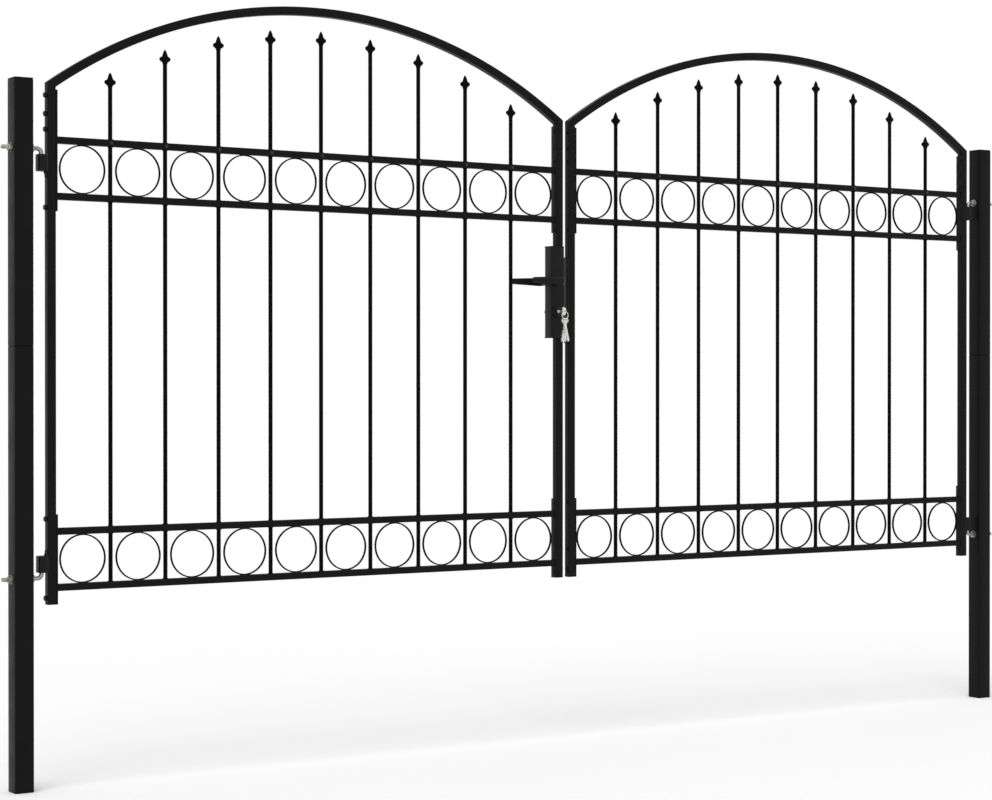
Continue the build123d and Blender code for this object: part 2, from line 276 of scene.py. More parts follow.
left_post_low, left_post_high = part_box("left_post_lower")
right_post_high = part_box("right_post_lower")[1]
post_side = left_post_high.x - left_post_low.x
mirror_x = (left_post_low.x + right_post_high.x) / 2
stile_low, stile_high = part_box("left_hinge_stile")
stile_side = stile_high.x - stile_low.x
stile_top = stile_high.z
arch_low, arch_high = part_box("left_arch")
leaf_start, leaf_end = arch_low.x, arch_high.x
leaf_middle = (leaf_start + leaf_end) / 2
arch_points = [vertex.co for vertex in frame["nodes"]["left_arch"].data.vertices]
arch_corner = max(point.z for point in arch_points if point.x < leaf_start + tube_end_bevel)
arch_rise = arch_high.z - arch_corner
arch_radius = ((leaf_end - leaf_start) ** 2 / 4 + arch_rise ** 2) / (2 * arch_rise)
arch_centre = arch_high.z - arch_radius
bars = islands("left_pickets")
bar_places = [middle(box).x for box in bars]
bar_radius = (bars[0][1].y - bars[0][0].y) / 2
bar_pitch = bar_places[1] - bar_places[0]
ring_places = [bar_places[0] - bar_pitch / 2] + [x + bar_pitch / 2 for x in bar_places]
bands = {name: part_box(f"left_{name}_band") for name in ("lower", "upper")}
rail_side = bands["lower"][1].y - bands["lower"][0].y


# Shapes


class Shape:
    """The points and faces of one piece, gathered part by part."""

    def __init__(self):
        self.points = []
        self.faces = []

    def add(self, points, faces):
        """Takes in points and the faces between them."""
        start = len(self.points)
        self.points.extend(Vector(point) for point in points)
        self.faces.extend(tuple(start + i for i in face) for face in faces)

    def loft(self, rings, closed=False):
        """Skins a row of rings with as many points each, and caps the ends unless the row closes."""
        count = len(rings[0])
        faces = []
        for row in range(len(rings) if closed else len(rings) - 1):
            here, there = row * count, (row + 1) % len(rings) * count
            for i in range(count):
                j = (i + 1) % count
                faces.append((here + i, here + j, there + j, there + i))
        if not closed:
            last = (len(rings) - 1) * count
            faces.append(tuple(reversed(range(count))))
            faces.append(tuple(range(last, last + count)))
        self.add([point for ring in rings for point in ring], faces)

    def mirrored(self):
        """The same form on the other side of the gate."""
        other = Shape()
        other.points = [Vector((2 * mirror_x - point.x, point.y, point.z)) for point in self.points]
        other.faces = [tuple(reversed(face)) for face in self.faces]
        return other


def show(name, data):
    """A new object in the scene."""
    thing = bpy.data.objects.new(name, data)
    bpy.context.scene.collection.objects.link(thing)
    return thing


def add_piece(shape, name, body, slot, *nodes, sharp_deg=edge_deg, finish=None):
    """Makes a mesh of a shape, which rides on a body and may stand for some nodes."""
    mesh = bpy.data.meshes.new(name)
    mesh.from_pydata(shape.points, [], shape.faces)
    work = bmesh.new()
    work.from_mesh(mesh)
    bmesh.ops.remove_doubles(work, verts=work.verts, dist=same_point_distance)
    bmesh.ops.recalc_face_normals(work, faces=work.faces)
    work.to_mesh(mesh)
    work.free()
    mesh.shade_smooth()
    mesh.set_sharp_from_angle(angle=radians(sharp_deg))
    mesh.materials.append(materials[finish or slot])
    piece = show(name, mesh)
    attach(piece, body)
    if nodes:
        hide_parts(*nodes)


def add_pair(shape, name, slot, *nodes, body=None, **looks):
    """A piece of the left half and its mirror image, each for its own side's nodes."""
    for side, form in (("left", shape), ("right", shape.mirrored())):
        own_nodes = [f"{side}_{node}" for node in nodes]
        add_piece(form, f"{side}_{name}", body or f"{side}_leaf", slot, *own_nodes, **looks)


def add_infill(shape, name, *nodes, sharp_deg=edge_deg):
    """A pair of the leaves' thin infill, which has a duller coat than the tubes."""
    add_pair(shape, name, "black_powder_coat", *nodes, sharp_deg=sharp_deg, finish="dull_black_coat")


def rounded_rectangle(width, depth, radius, steps=corner_steps):
    """The points of a rectangle with round corners, about its middle."""
    points = []
    for turn, (right, up) in enumerate(((1, 1), (-1, 1), (-1, -1), (1, -1))):
        for step in range(steps + 1):
            angle = pi / 2 * (turn + step / steps)
            across = right * (width / 2 - radius) + radius * cos(angle)
            points.append((across, up * (depth / 2 - radius) + radius * sin(angle)))
    return points


def circle(radius, steps):
    """The points of a circle about its middle."""
    return [(radius * cos(2 * pi * i / steps), radius * sin(2 * pi * i / steps)) for i in range(steps)]


def sweep(path, section):
    """Rings of a section along a path in the leaf's plane, mitred where the path turns."""
    rings = []
    for i, (x, z) in enumerate(path):
        here = Vector((x, z))
        first = here - Vector(path[i - 1]) if i else Vector(path[1]) - here
        second = Vector(path[i + 1]) - here if i + 1 < len(path) else first
        first.normalize()
        along = (first + second.normalized()).normalized()
        widen = 1 / along.dot(first)
        outline = section(i) if callable(section) else section
        rings.append([(x - along.y * u * widen, v, z + along.x * u * widen) for u, v in outline])
    return rings


def upright(x, levels):
    """Rings at successive heights from pairs of a height and an outline."""
    return [[(x + u, v, z) for u, v in outline] for z, outline in levels]


def around(origin, axis, levels):
    """Rings about an axis from pairs of a distance along it and an outline."""
    along = Vector(axis).normalized()
    side = along.cross(Vector((0, 0, 1)) if abs(along.z) < 0.5 else Vector((0, 1, 0))).normalized()
    up = along.cross(side)
    place = Vector(origin)
    return [[place + along * step + side * u + up * v for u, v in outline] for step, outline in levels]


def turned(origin, axis, profile, steps=round_steps):
    """Rings of a turned form from pairs of a distance along its axis and a radius."""
    return around(origin, axis, [(step, circle(radius, steps)) for step, radius in profile])


def hexagon(flats, limit=None):
    """The points of a hexagon, cut off by a circle where a limit is given."""
    points = []
    for i in range(hex_steps):
        angle = 2 * pi * i / hex_steps
        reach = flats / 2 / cos((angle + pi / 6) % (pi / 3) - pi / 6)
        reach = min(reach, limit) if limit else reach
        points.append((reach * cos(angle), reach * sin(angle)))
    return points


def hex_levels(flats, height, chamfer_foot):
    """The levels of a hexagonal head or nut whose corners are chamfered."""
    limit = flats / 2 * hex_face_share
    drop = flats * (1 - hex_chamfer_share) / 2
    top = [(height - drop, hexagon(flats)), (height, hexagon(flats, limit))]
    foot = [(0, hexagon(flats, limit)), (drop, hexagon(flats))] if chamfer_foot else [(0, hexagon(flats))]
    return foot + top


def hex_nut(shape, origin, axis, flats, height, bore):
    """A hexagonal nut with a bore through it."""
    inner = circle(bore / 2, hex_steps)
    levels = [(0, inner)] + hex_levels(flats, height, True) + [(height, inner)]
    shape.loft(around(origin, axis, levels), closed=True)


def bead(shape, loop, axis):
    """An uneven weld bead along a closed loop whose plane has the given axis."""
    normal = Vector(axis)
    rings = []
    for i, point in enumerate(loop):
        here = Vector(point)
        along = (Vector(loop[(i + 1) % len(loop)]) - Vector(loop[i - 1])).normalized()
        side = along.cross(normal).normalized()
        swell = bead_radius * (1 + bead_unevenness * noise.noise(here * bead_lump_scale))
        section = circle(swell, bead_section_steps)
        rings.append([here + side * u + normal * v for u, v in section])
    shape.loft(rings, closed=True)


def hollow_tube(shape, x, side, wall, radius, z_low, z_high, bevel=tube_end_bevel):
    """An upright square tube with round corners and softened ends."""
    inner_radius = max(radius - wall, radius / 4)
    outside = rounded_rectangle(side, side, radius)
    edge = rounded_rectangle(side - 2 * bevel, side - 2 * bevel, radius)
    inside = rounded_rectangle(side - 2 * wall, side - 2 * wall, inner_radius)
    levels = (
        (z_low, edge),
        (z_low + bevel, outside),
        (z_high - bevel, outside),
        (z_high, edge),
        (z_high, inside),
        (z_low, inside),
    )
    shape.loft(upright(x, levels), closed=True)


def laid(place, across, along):
    """The matrix that lays an outline at a place, with its axes along two directions."""
    first, second = Vector(across), Vector(along)
    turn = Matrix((first, second, first.cross(second))).transposed()
    return Matrix.Translation(place) @ turn.to_4x4()


def flat_outline(shape, outlines, thickness, bevel, matrix):
    """A flat piece cut to some closed outlines, the first outside and the others holes."""
    curve = bpy.data.curves.new("outline", "CURVE")
    curve.dimensions = "2D"
    curve.fill_mode = "BOTH"
    curve.extrude = thickness / 2 - bevel
    curve.bevel_depth = bevel
    curve.bevel_resolution = 1
    curve.offset = -bevel
    for outline in outlines:
        spline = curve.splines.new("POLY")
        spline.points.add(len(outline) - 1)
        for point, (u, v) in zip(spline.points, outline):
            point.co = (u, v, 0, 1)
        spline.use_cyclic_u = True
    holder = bpy.data.objects.new("outline", curve)
    mesh = bpy.data.meshes.new_from_object(holder)
    faces = [tuple(face.vertices) for face in mesh.polygons]
    shape.add([matrix @ vertex.co for vertex in mesh.vertices], faces)
    bpy.data.objects.remove(holder)
    bpy.data.curves.remove(curve)
    bpy.data.meshes.remove(mesh)


def shifted(points, across, along):
    """An outline moved in its own plane."""
    return [(u + across, v + along) for u, v in points]


# Materials


deep_black = (0.0010, 0.0010, 0.0009)
black = (0.0024, 0.0023, 0.0022)
soft_black = (0.0044, 0.0043, 0.0040)
# The colour of a lighter film on upward faces: partly dust, partly painted light from above
dust_and_top_light = (0.0160, 0.0152, 0.0138)

# Black finishes: two tones, the least and the greatest roughness, and the specular level
black_finishes = {
    "black_powder_coat": (black, soft_black, 0.36, 0.50, 0.10),
    "dull_black_coat": (deep_black, black, 0.40, 0.54, 0.04),
    "black_fittings": (black, soft_black, 0.30, 0.44, 0.16),
    "glossy_black_coat": (black, soft_black, 0.16, 0.26, 0.45),
}

# Metals: two tones, the least and the greatest roughness, and the grain's scale, stretch and relief
metal_finishes = {
    "zinc": ((0.22, 0.215, 0.20), (0.52, 0.51, 0.48), 0.32, 0.54, 240.0, (1, 1, 1), 0.10),
    "nickel": ((0.62, 0.61, 0.58), (0.80, 0.79, 0.76), 0.16, 0.34, 260.0, (1, 1, 6), 0.02),
    "bright_steel": ((0.42, 0.42, 0.42), (0.60, 0.60, 0.60), 0.26, 0.44, 160.0, (8, 8, 1), 0.05),
}

# Patterns: their scales, the orange peel's and the grain's depth, and on which upward faces the lighter
# film of dust and painted top light lies and how thickly
coat_drift_scale = 14.0
coat_grain_scale = 900.0
coat_peel = 0.03
coat_peel_depth = 0.0004
top_film_speck_scale = 130.0
top_film_facing_up = (0.4, 0.9)
top_film_cover = (0.2, 0.8)
metal_cloud_scale = 90.0
metal_grain_depth = 0.0002
pattern_range = (0.3, 0.7)


def link(tree, source, target):
    """Joins one node's output to another node's input."""
    tree.links.new(source, target)


def new_material(name):
    """A material with its shader, and the place on the object that its patterns follow."""
    material = bpy.data.materials.new(name)
    material.use_nodes = True
    tree = material.node_tree
    place = tree.nodes.new("ShaderNodeTexCoord").outputs["Object"]
    return material, tree, tree.nodes["Principled BSDF"], place


def noise_pattern(tree, place, scale, detail, stretch=None):
    """A noise pattern, stretched along the axes where asked."""
    if stretch:
        mapping = tree.nodes.new("ShaderNodeMapping")
        mapping.inputs["Scale"].default_value = stretch
        link(tree, place, mapping.inputs["Vector"])
        place = mapping.outputs["Vector"]
    pattern = tree.nodes.new("ShaderNodeTexNoise")
    pattern.inputs["Scale"].default_value = scale
    pattern.inputs["Detail"].default_value = detail
    link(tree, place, pattern.inputs["Vector"])
    return pattern.outputs["Fac"]


def ramp(tree, source, low, high, span=pattern_range):
    """Maps the span of a pattern to a range between two numbers."""
    spread = tree.nodes.new("ShaderNodeMapRange")
    spread.inputs["From Min"].default_value, spread.inputs["From Max"].default_value = span
    spread.inputs["To Min"].default_value = low
    spread.inputs["To Max"].default_value = high
    link(tree, source, spread.inputs["Value"])
    return spread.outputs["Result"]


def two_colours(tree, source, first, second):
    """Mixes two colours by a pattern."""
    mix = tree.nodes.new("ShaderNodeMix")
    mix.data_type = "RGBA"
    mix.inputs["A"].default_value = (*first, 1)
    mix.inputs["B"].default_value = (*second, 1)
    link(tree, source, mix.inputs["Factor"])
    return mix.outputs["Result"]


def bump(tree, shader, source, strength, distance):
    """Raises the surface by a pattern."""
    raised = tree.nodes.new("ShaderNodeBump")
    raised.inputs["Strength"].default_value = strength
    raised.inputs["Distance"].default_value = distance
    link(tree, source, raised.inputs["Height"])
    link(tree, raised.outputs["Normal"], shader.inputs["Normal"])


def black_coat(name, dark, light, smooth, rough, specular):
    """Satin black coat: a fine orange peel, drifting gloss and tone, and a speckled lighter film on upward
    faces that is partly dust and partly painted top light.
    """
    material, tree, shader, place = new_material(name)
    drift = noise_pattern(tree, place, coat_drift_scale, detail=3.0)
    grain = noise_pattern(tree, place, coat_grain_scale, detail=2.0)
    specks = noise_pattern(tree, place, top_film_speck_scale, detail=5.0)
    coat = two_colours(tree, ramp(tree, drift, 0.0, 1.0), dark, light)
    facing = tree.nodes.new("ShaderNodeSeparateXYZ")
    link(tree, tree.nodes.new("ShaderNodeNewGeometry").outputs["Normal"], facing.inputs["Vector"])
    # Upward faces are painted lighter in specks: partly dust, partly painted light from above
    top_film_share = tree.nodes.new("ShaderNodeMath")
    top_film_share.operation = "MULTIPLY"
    link(tree, ramp(tree, facing.outputs["Z"], 0.0, 1.0, top_film_facing_up), top_film_share.inputs[0])
    link(tree, ramp(tree, specks, *top_film_cover), top_film_share.inputs[1])
    top_film_mix = tree.nodes.new("ShaderNodeMix")
    top_film_mix.data_type = "RGBA"
    top_film_mix.inputs["B"].default_value = (*dust_and_top_light, 1)
    link(tree, coat, top_film_mix.inputs["A"])
    link(tree, top_film_share.outputs["Value"], top_film_mix.inputs["Factor"])
    link(tree, top_film_mix.outputs["Result"], shader.inputs["Base Color"])
    link(tree, ramp(tree, drift, smooth, rough), shader.inputs["Roughness"])
    shader.inputs["Specular IOR Level"].default_value = specular
    bump(tree, shader, grain, coat_peel, coat_peel_depth)
    return material


def plated_metal(name, dark, light, smooth, rough, scale, stretch, relief):
    """Plated or brushed metal with a grain."""
    material, tree, shader, place = new_material(name)
    grain = noise_pattern(tree, place, scale, detail=4.0, stretch=stretch)
    cloud = noise_pattern(tree, place, metal_cloud_scale, detail=2.0)
    shader.inputs["Metallic"].default_value = 1.0
    link(tree, two_colours(tree, ramp(tree, cloud, 0.0, 1.0), dark, light), shader.inputs["Base Color"])
    link(tree, ramp(tree, grain, smooth, rough), shader.inputs["Roughness"])
    bump(tree, shader, grain, relief, metal_grain_depth)
    return material


materials = {name: black_coat(name, *finish) for name, finish in black_finishes.items()}
materials |= {name: plated_metal(name, *finish) for name, finish in metal_finishes.items()}


# Posts


def posts():
    """Two lengths of square tube for each post, with a seam, under a cap."""
    for node in ("post_lower", "post_upper"):
        low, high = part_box(f"left_{node}")
        tube = Shape()
        hollow_tube(tube, 0, post_side, post_wall, post_corner_radius, low.z, high.z, post_seam_bevel)
        add_pair(tube, f"{node}_tube", "black_powder_coat", node, body="posts")
    low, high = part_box("left_post_cap")
    edge = block_edge_bevel
    full = rounded_rectangle(post_side, post_side, post_corner_radius)
    small = rounded_rectangle(post_side - 2 * edge, post_side - 2 * edge, post_corner_radius)
    cap = Shape()
    cap.loft(upright(0, ((low.z, small), (low.z + edge, full), (high.z - edge, full), (high.z, small))))
    add_pair(cap, "post_cap_plate", "black_fittings", "post_cap", body="posts")


# Hinges


def hinge_rod(shape, box):
    """A threaded rod through the post, bent into its block, with chamfered ends."""
    low, high = box
    radius = (high.y - low.y) / 2
    nut_boxes = islands("left_hinge_nuts")
    rod_heights = [middle(nut).z for nut in nut_boxes]
    height = min(rod_heights, key=lambda z: min(abs(z - low.z), abs(z - high.z)))
    down = -1 if height > middle(box).z else 1
    axis_x = high.x - radius
    thread_end = max(nut[1].x for nut in nut_boxes) + thread_past_nut
    tip = low.z if down < 0 else high.z
    rows = ceil((thread_end - low.x) / thread_pitch * thread_rows_a_pitch)
    path = [(low.x + (thread_end - low.x) * i / rows, height) for i in range(rows + 1)]
    for i in range(rod_bend_steps + 1):
        angle = pi / 2 * i / rod_bend_steps
        x = axis_x - rod_bend_radius + rod_bend_radius * sin(angle)
        path.append((x, height + down * rod_bend_radius * (1 - cos(angle))))
    path += [(axis_x, tip - down * rod_end_chamfer), (axis_x, tip)]

    def section(i):
        if i in (0, len(path) - 1):
            return circle(radius - rod_end_chamfer, rod_steps)
        if i > rows:
            return circle(radius, rod_steps)
        points = []
        for step in range(rod_steps):
            phase = (i / thread_rows_a_pitch + step / rod_steps) % 1
            reach = radius - thread_depth * abs(2 * phase - 1)
            angle = 2 * pi * step / rod_steps
            points.append((reach * cos(angle), reach * sin(angle)))
        return points

    shape.loft(sweep(path, section))


def hinges():
    """The rods, their nuts and washers, and the blocks on the stiles."""
    rods = Shape()
    for box in islands("left_hinge_pins"):
        hinge_rod(rods, box)
    add_pair(rods, "hinge_rods", "zinc", "hinge_pins", body="posts", sharp_deg=soft_deg)
    nuts = Shape()
    washers = Shape()
    for low, high in islands("left_hinge_nuts"):
        outward = -1 if low.x < 0 else 1
        face = high.x if outward < 0 else low.x
        flats = high.y - low.y
        bore = flats * nut_bore_share
        place = Vector((face, 0, (low.z + high.z) / 2))
        inner, outer = bore / 2, washer_diameter / 2
        ring = [(0, inner), (0, outer), (washer_thickness, outer), (washer_thickness, inner)]
        washers.loft(turned(place, (outward, 0, 0), ring), closed=True)
        nut_place = place + Vector((outward * washer_thickness, 0, 0))
        hex_nut(nuts, nut_place, (outward, 0, 0), flats, high.x - low.x - washer_thickness, bore)
    add_pair(nuts, "hinge_hex_nuts", "zinc", "hinge_nuts", body="posts", sharp_deg=crisp_deg)
    add_pair(washers, "hinge_washers", "zinc", body="posts")
    blocks = Shape()
    welds = Shape()
    lugs = sorted(islands("left_hinge_blocks"), key=lambda box: box[0].z)
    for (low, high), bend_above in zip(lugs, (False, True)):
        hinge_block(blocks, welds, low, high, bend_above)
    add_pair(blocks, "hinge_lugs", "black_fittings", "hinge_blocks")
    add_pair(welds, "hinge_lug_welds", "black_powder_coat", finish="glossy_black_coat")


def hinge_block(shape, welds, low, high, bend_above):
    """A block with a round nose and soft edges, bored for its rod and welded to the stile."""
    width = high.x - low.x
    depth = high.y - low.y
    rod = islands("left_hinge_pins")[0][1]
    axis_x = rod.x - rod.y
    steps = 2 * corner_steps + 1
    bore = circle(rod.y + lug_bore_clearance, 4 * (steps + 1))
    x = (low.x + high.x) / 2
    edge = block_edge_bevel
    full = rounded_rectangle(width, depth, block_corner_radius, steps)
    small = rounded_rectangle(width - 2 * edge, depth - 2 * edge, block_corner_radius, steps)
    hole = shifted(bore, axis_x - x, 0)
    levels = (
        (low.z, small),
        (low.z + edge, full),
        (high.z - edge, full),
        (high.z, small),
        (high.z, hole),
        (low.z, hole),
    )
    shape.loft(upright(x, levels), closed=True)
    seat = rounded_rectangle(depth * lug_seat_share, high.z - low.z, bead_radius, lug_seat_steps)
    loop = [(leaf_start, u, (low.z + high.z) / 2 + v) for u, v in seat]
    bead(welds, subdivided(loop), (1, 0, 0))
    end, away = (low.z, -1) if bend_above else (high.z, 1)
    fillet = []
    for i in range(lug_weld_rows + 1):
        share = i / lug_weld_rows
        lump = 1 + bead_unevenness * noise.noise(Vector((end, share * lug_weld_lumps, away)))
        size = sqrt(1 - share * share) * lump + bead_end_share
        rise, half_width = lug_weld_rise * size, lug_weld_half_width * size
        outline = [(u * rise, v * half_width) for u, v in circle(1, lug_weld_steps)]
        fillet.append((end + away * lug_weld_length * (share - lug_weld_sink_share), outline))
    welds.loft(upright(leaf_start, fillet))


def subdivided(loop):
    """A closed loop with points added along its long stretches."""
    points = []
    for i, point in enumerate(loop):
        here, after = Vector(point), Vector(loop[(i + 1) % len(loop)])
        count = max(1, ceil((after - here).length / bead_point_spacing))
        points.extend(here.lerp(after, step / count) for step in range(count))
    return points


# Leaf frame


def stiles():
    """The uprights of both leaves, in the lengths that the model has."""
    uprights = (
        ("left_hinge_stile", "left_leaf"),
        ("right_hinge_stile", "right_leaf"),
        ("left_lock_stile", "left_leaf"),
        ("right_meeting_stile", "right_leaf"),
    )
    for node, body in uprights:
        tube = Shape()
        for low, high in islands(node):
            x = (low.x + high.x) / 2
            hollow_tube(tube, x, stile_side, stile_wall, stile_corner_radius, low.z, high.z)
        add_piece(tube, f"{node}_tube", body, "black_powder_coat", node)


def arch_tube():
    """The arch: a leg, a mitred corner, an arc, a corner and a leg."""
    half = stile_side / 2
    radius = arch_radius - half
    reach = (leaf_end - leaf_start) / 2 - half
    spread = atan2(reach, sqrt(radius ** 2 - reach ** 2))
    path = [(leaf_start + half, stile_top)]
    for i in range(arch_steps + 1):
        angle = spread * (2 * i / arch_steps - 1)
        path.append((leaf_middle + radius * sin(angle), arch_centre + radius * cos(angle)))
    path.append((leaf_end - half, stile_top))
    outside = rounded_rectangle(stile_side, stile_side, stile_corner_radius)
    clear = stile_side - 2 * stile_wall
    inside = rounded_rectangle(clear, clear, stile_corner_radius / 2)
    shape = Shape()
    shape.loft(sweep(path, outside) + list(reversed(sweep(path, inside))), closed=True)
    add_pair(shape, "arch_tube", "black_powder_coat", "arch", sharp_deg=crisp_deg)


# Infill


def rail(shape, welds, z):
    """A level tube between the end plates, with a weld bead round each end."""
    low, high = bands["lower"]
    outside = rounded_rectangle(rail_side, rail_side, rail_corner_radius)
    shape.loft(sweep([(low.x, z), (high.x, z)], outside))
    for x in (low.x, high.x):
        loop = [(x, v, z + u) for u, v in outside]
        bead(welds, subdivided(loop), (1, 0, 0))


def strip_ring(shape, welds, x, z, diameter):
    """A strip bent to a ring, with a weld at its top and its foot."""
    middle_radius = (diameter - ring_thickness) / 2
    section = rounded_rectangle(ring_thickness, ring_depth, ring_corner_radius, ring_corner_steps)
    rings = []
    for i in range(ring_steps):
        angle = 2 * pi * i / ring_steps
        outline = [(middle_radius + u, v) for u, v in section]
        rings.append([(x + reach * cos(angle), v, z + reach * sin(angle)) for reach, v in outline])
    shape.loft(rings, closed=True)
    for up in (-1, 1):
        touch = z + up * (diameter / 2 - ring_weld_depth)
        seat = touch - up * ring_bead_sink
        bead_rings = []
        for i in range(bead_section_steps + 1):
            share = 2 * i / bead_section_steps - 1
            swell = sqrt(max(1 - share * share, 0.0)) + bead_end_share
            lump = 1 + bead_unevenness * noise.noise(Vector((x, share, touch)) * ring_bead_lump_scale)
            tall = ring_bead_height / 2 * swell * lump
            deep = ring_depth * ring_bead_depth_share * swell
            place = x + share * ring_bead_length / 2
            bead_rings.append([(place, v * deep, seat + u * tall) for u, v in circle(1, ring_bead_steps)])
        welds.loft(bead_rings)


def bands_and_rings():
    """Both ring bands of a leaf: rails, rings and their welds."""
    for name, (low, high) in bands.items():
        rails, rings, welds = Shape(), Shape(), Shape()
        rail(rails, welds, low.z + rail_side / 2)
        rail(rails, welds, high.z - rail_side / 2)
        diameter = high.z - low.z - 2 * rail_side + 2 * ring_weld_depth
        for x in ring_places:
            strip_ring(rings, welds, x, (low.z + high.z) / 2, diameter)
        add_pair(rails, f"{name}_rails", "black_powder_coat", f"{name}_band")
        add_infill(rings, f"{name}_rings")
        add_infill(welds, f"{name}_band_welds", sharp_deg=lumpy_deg)


def round_pickets():
    """The bars of a leaf, with a weld bead wherever one meets a rail."""
    shape, welds = Shape(), Shape()
    (lower_foot, lower_top), (upper_foot, upper_top) = ((low.z, high.z) for low, high in bands.values())
    seats = [lower_foot + rail_side, lower_top - rail_side, lower_top]
    seats += [upper_top - rail_side, upper_top, upper_foot, upper_foot + rail_side]
    seat_circle = circle(bar_radius + bead_radius * picket_bead_out_share, bead_steps)
    for low, high in bars:
        x = (low.x + high.x) / 2
        profile = ((0, bar_radius), (high.z - low.z, bar_radius))
        shape.loft(turned((x, 0, low.z), (0, 0, 1), profile, bar_steps))
        for z in seats:
            bead(welds, [(x + u, v, z) for u, v in seat_circle], (0, 0, 1))
    add_infill(shape, "round_pickets", "pickets")
    add_infill(welds, "picket_welds", sharp_deg=lumpy_deg)


def eased(rows, divisions):
    """Rows of numbers with smooth steps added between them."""
    fine = []
    for i in range(len(rows) - 1):
        before, here = rows[max(i - 1, 0)], rows[i]
        after, beyond = rows[i + 1], rows[min(i + 2, len(rows) - 1)]
        for step in range(divisions):
            t = step / divisions
            row = []
            for a, b, c, d in zip(before, here, after, beyond):
                square, cube = 2 * a - 5 * b + 4 * c - d, 3 * b - a - 3 * c + d
                row.append((2 * b + (c - a) * t + square * t * t + cube * t ** 3) / 2)
            fine.append(row)
    return fine + [list(rows[-1])]


def squarish(steps, power):
    """The points of an oval of half size one that is squarer than a circle."""
    points = []
    for u, v in circle(1, steps):
        size = (abs(u) ** power + abs(v) ** power) ** (-1 / power)
        points.append((u * size, v * size))
    return points


def cast_spears():
    """A flat spear head with two side lobes on the end of each bar."""
    shape = Shape()
    oval = squarish(spear_steps, spear_squareness)
    for low, high in islands("left_spear_heads"):
        half_width = (high.x - low.x) / 2
        height = high.z - low.z
        levels = []
        for drop, width, thickness in eased(spear_profile_shares, spear_rings_a_row):
            outline = [(u * width * half_width, v * thickness * half_width) for u, v in oval]
            levels.append((high.z - drop * height, outline))
        shape.loft(upright((low.x + high.x) / 2, levels))
    add_infill(shape, "cast_spears", "spear_heads", sharp_deg=lumpy_deg)


def bolting_plates():
    """The flat bars that the rails are welded to."""
    shape = Shape()
    for low, high in islands("left_end_plates"):
        centre = middle((low, high))
        turn = laid((centre.x, 0, centre.z), (0, 1, 0), (0, 0, 1))
        outline = rounded_rectangle(high.y - low.y, high.z - low.z, plate_corner_radius)
        flat_outline(shape, [outline], high.x - low.x, tube_end_bevel, turn)
    add_pair(shape, "bolting_plates", "black_powder_coat", "end_plates")


def dome(shape, place, axis, diameter, height):
    """A low dome on a face that looks along an axis."""
    rows = [(0, diameter / 2)]
    for i in range(dome_rows + 1):
        angle = pi / 2 * i / dome_rows
        rise = dome_rim_share + (1 - dome_rim_share) * sin(angle)
        rows.append((height * rise, diameter / 2 * max(cos(angle), dome_tip_share)))
    shape.loft(turned(place, axis, rows, bolt_steps))


def plug_welds():
    """A domed weld on the face of each leaf's top rail, where a bar passes through it."""
    spots = Shape()
    top = bands["upper"][1].z
    for x in bar_places:
        place = (x, -rail_side / 2, top - rail_side / 2)
        dome(spots, place, (0, -1, 0), plug_weld_diameter, plug_weld_height)
    add_pair(spots, "plug_welds", "black_fittings", finish="glossy_black_coat")


def hex_head(shape, place, axis):
    """A hexagonal bolt head with a flange."""
    thickness = bolt_flange_thickness
    flange = bolt_flange_diameter / 2
    top = flange * bolt_flange_top_share
    rim = ((0, flange), (thickness * bolt_flange_rim_share, flange), (thickness, top))
    shape.loft(turned(place, axis, rim, bolt_steps))
    seat = Vector(place) + Vector(axis) * thickness
    shape.loft(around(seat, axis, hex_levels(bolt_flats, bolt_head_height, False)))


def frame_bolts():
    """The bolts of both leaves, all put in from the left, and the stops between the leaves."""
    plates = islands("left_end_plates")
    lower = min(plates, key=lambda box: box[0].z)
    upper = max(plates, key=lambda box: box[0].z)
    heights = [stile_top + rise for rise in bolts_above_seam]
    heights.append(upper[0].z + bolt_above_upper_plate_foot)
    heights.append(lower[1].z - bolt_below_lower_plate_top)
    heights.append(lower[0].z + bolt_above_lower_plate_foot)
    spans = ((leaf_start, plates[0][1].x), (plates[-1][0].x, leaf_end))
    for side in ("left", "right"):
        bolts = Shape()
        for z in heights:
            for span in spans:
                if side == "right":
                    span = sorted(2 * mirror_x - x for x in span)
                head, end = ((x, 0, z) for x in span)
                if span[0] == leaf_start:
                    hex_head(bolts, head, (-1, 0, 0))
                else:
                    dome(bolts, head, (-1, 0, 0), bolt_dome_diameter, bolt_dome_height)
                dome(bolts, end, (1, 0, 0), bolt_end_diameter, bolt_end_height)
        add_piece(bolts, f"{side}_frame_bolts", f"{side}_leaf", "black_fittings", sharp_deg=crisp_deg)
    stops = Shape()
    for rise in stops_above_foot:
        dome(stops, (leaf_end, 0, stile_low.z + rise), (1, 0, 0), stop_diameter, stop_height)
    add_pair(stops, "meeting_stops", "black_fittings")


# Lock


def lock_case():
    """The lock's case with round edges and a thin lip at each end."""
    low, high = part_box("lock_case")
    centre = middle((low, high))
    width, depth = high.x - low.x, high.y - low.y
    edge = tube_end_bevel
    full = rounded_rectangle(width, depth, case_corner_radius)
    wide, deep = width + case_lip, depth + 2 * case_lip
    lip = shifted(rounded_rectangle(wide, deep, case_corner_radius), -case_lip / 2, 0)
    rim = shifted(rounded_rectangle(wide - 2 * edge, deep - 2 * edge, case_corner_radius), -case_lip / 2, 0)
    levels = (
        (low.z, rim),
        (low.z + edge, lip),
        (low.z + case_lip_height, lip),
        (low.z + case_lip_height, full),
        (high.z - case_lip_height, full),
        (high.z - case_lip_height, lip),
        (high.z - edge, lip),
        (high.z, rim),
    )
    case = Shape()
    case.loft(upright(centre.x, levels))
    add_piece(case, "lock_box", "left_leaf", "black_fittings", "lock_case")


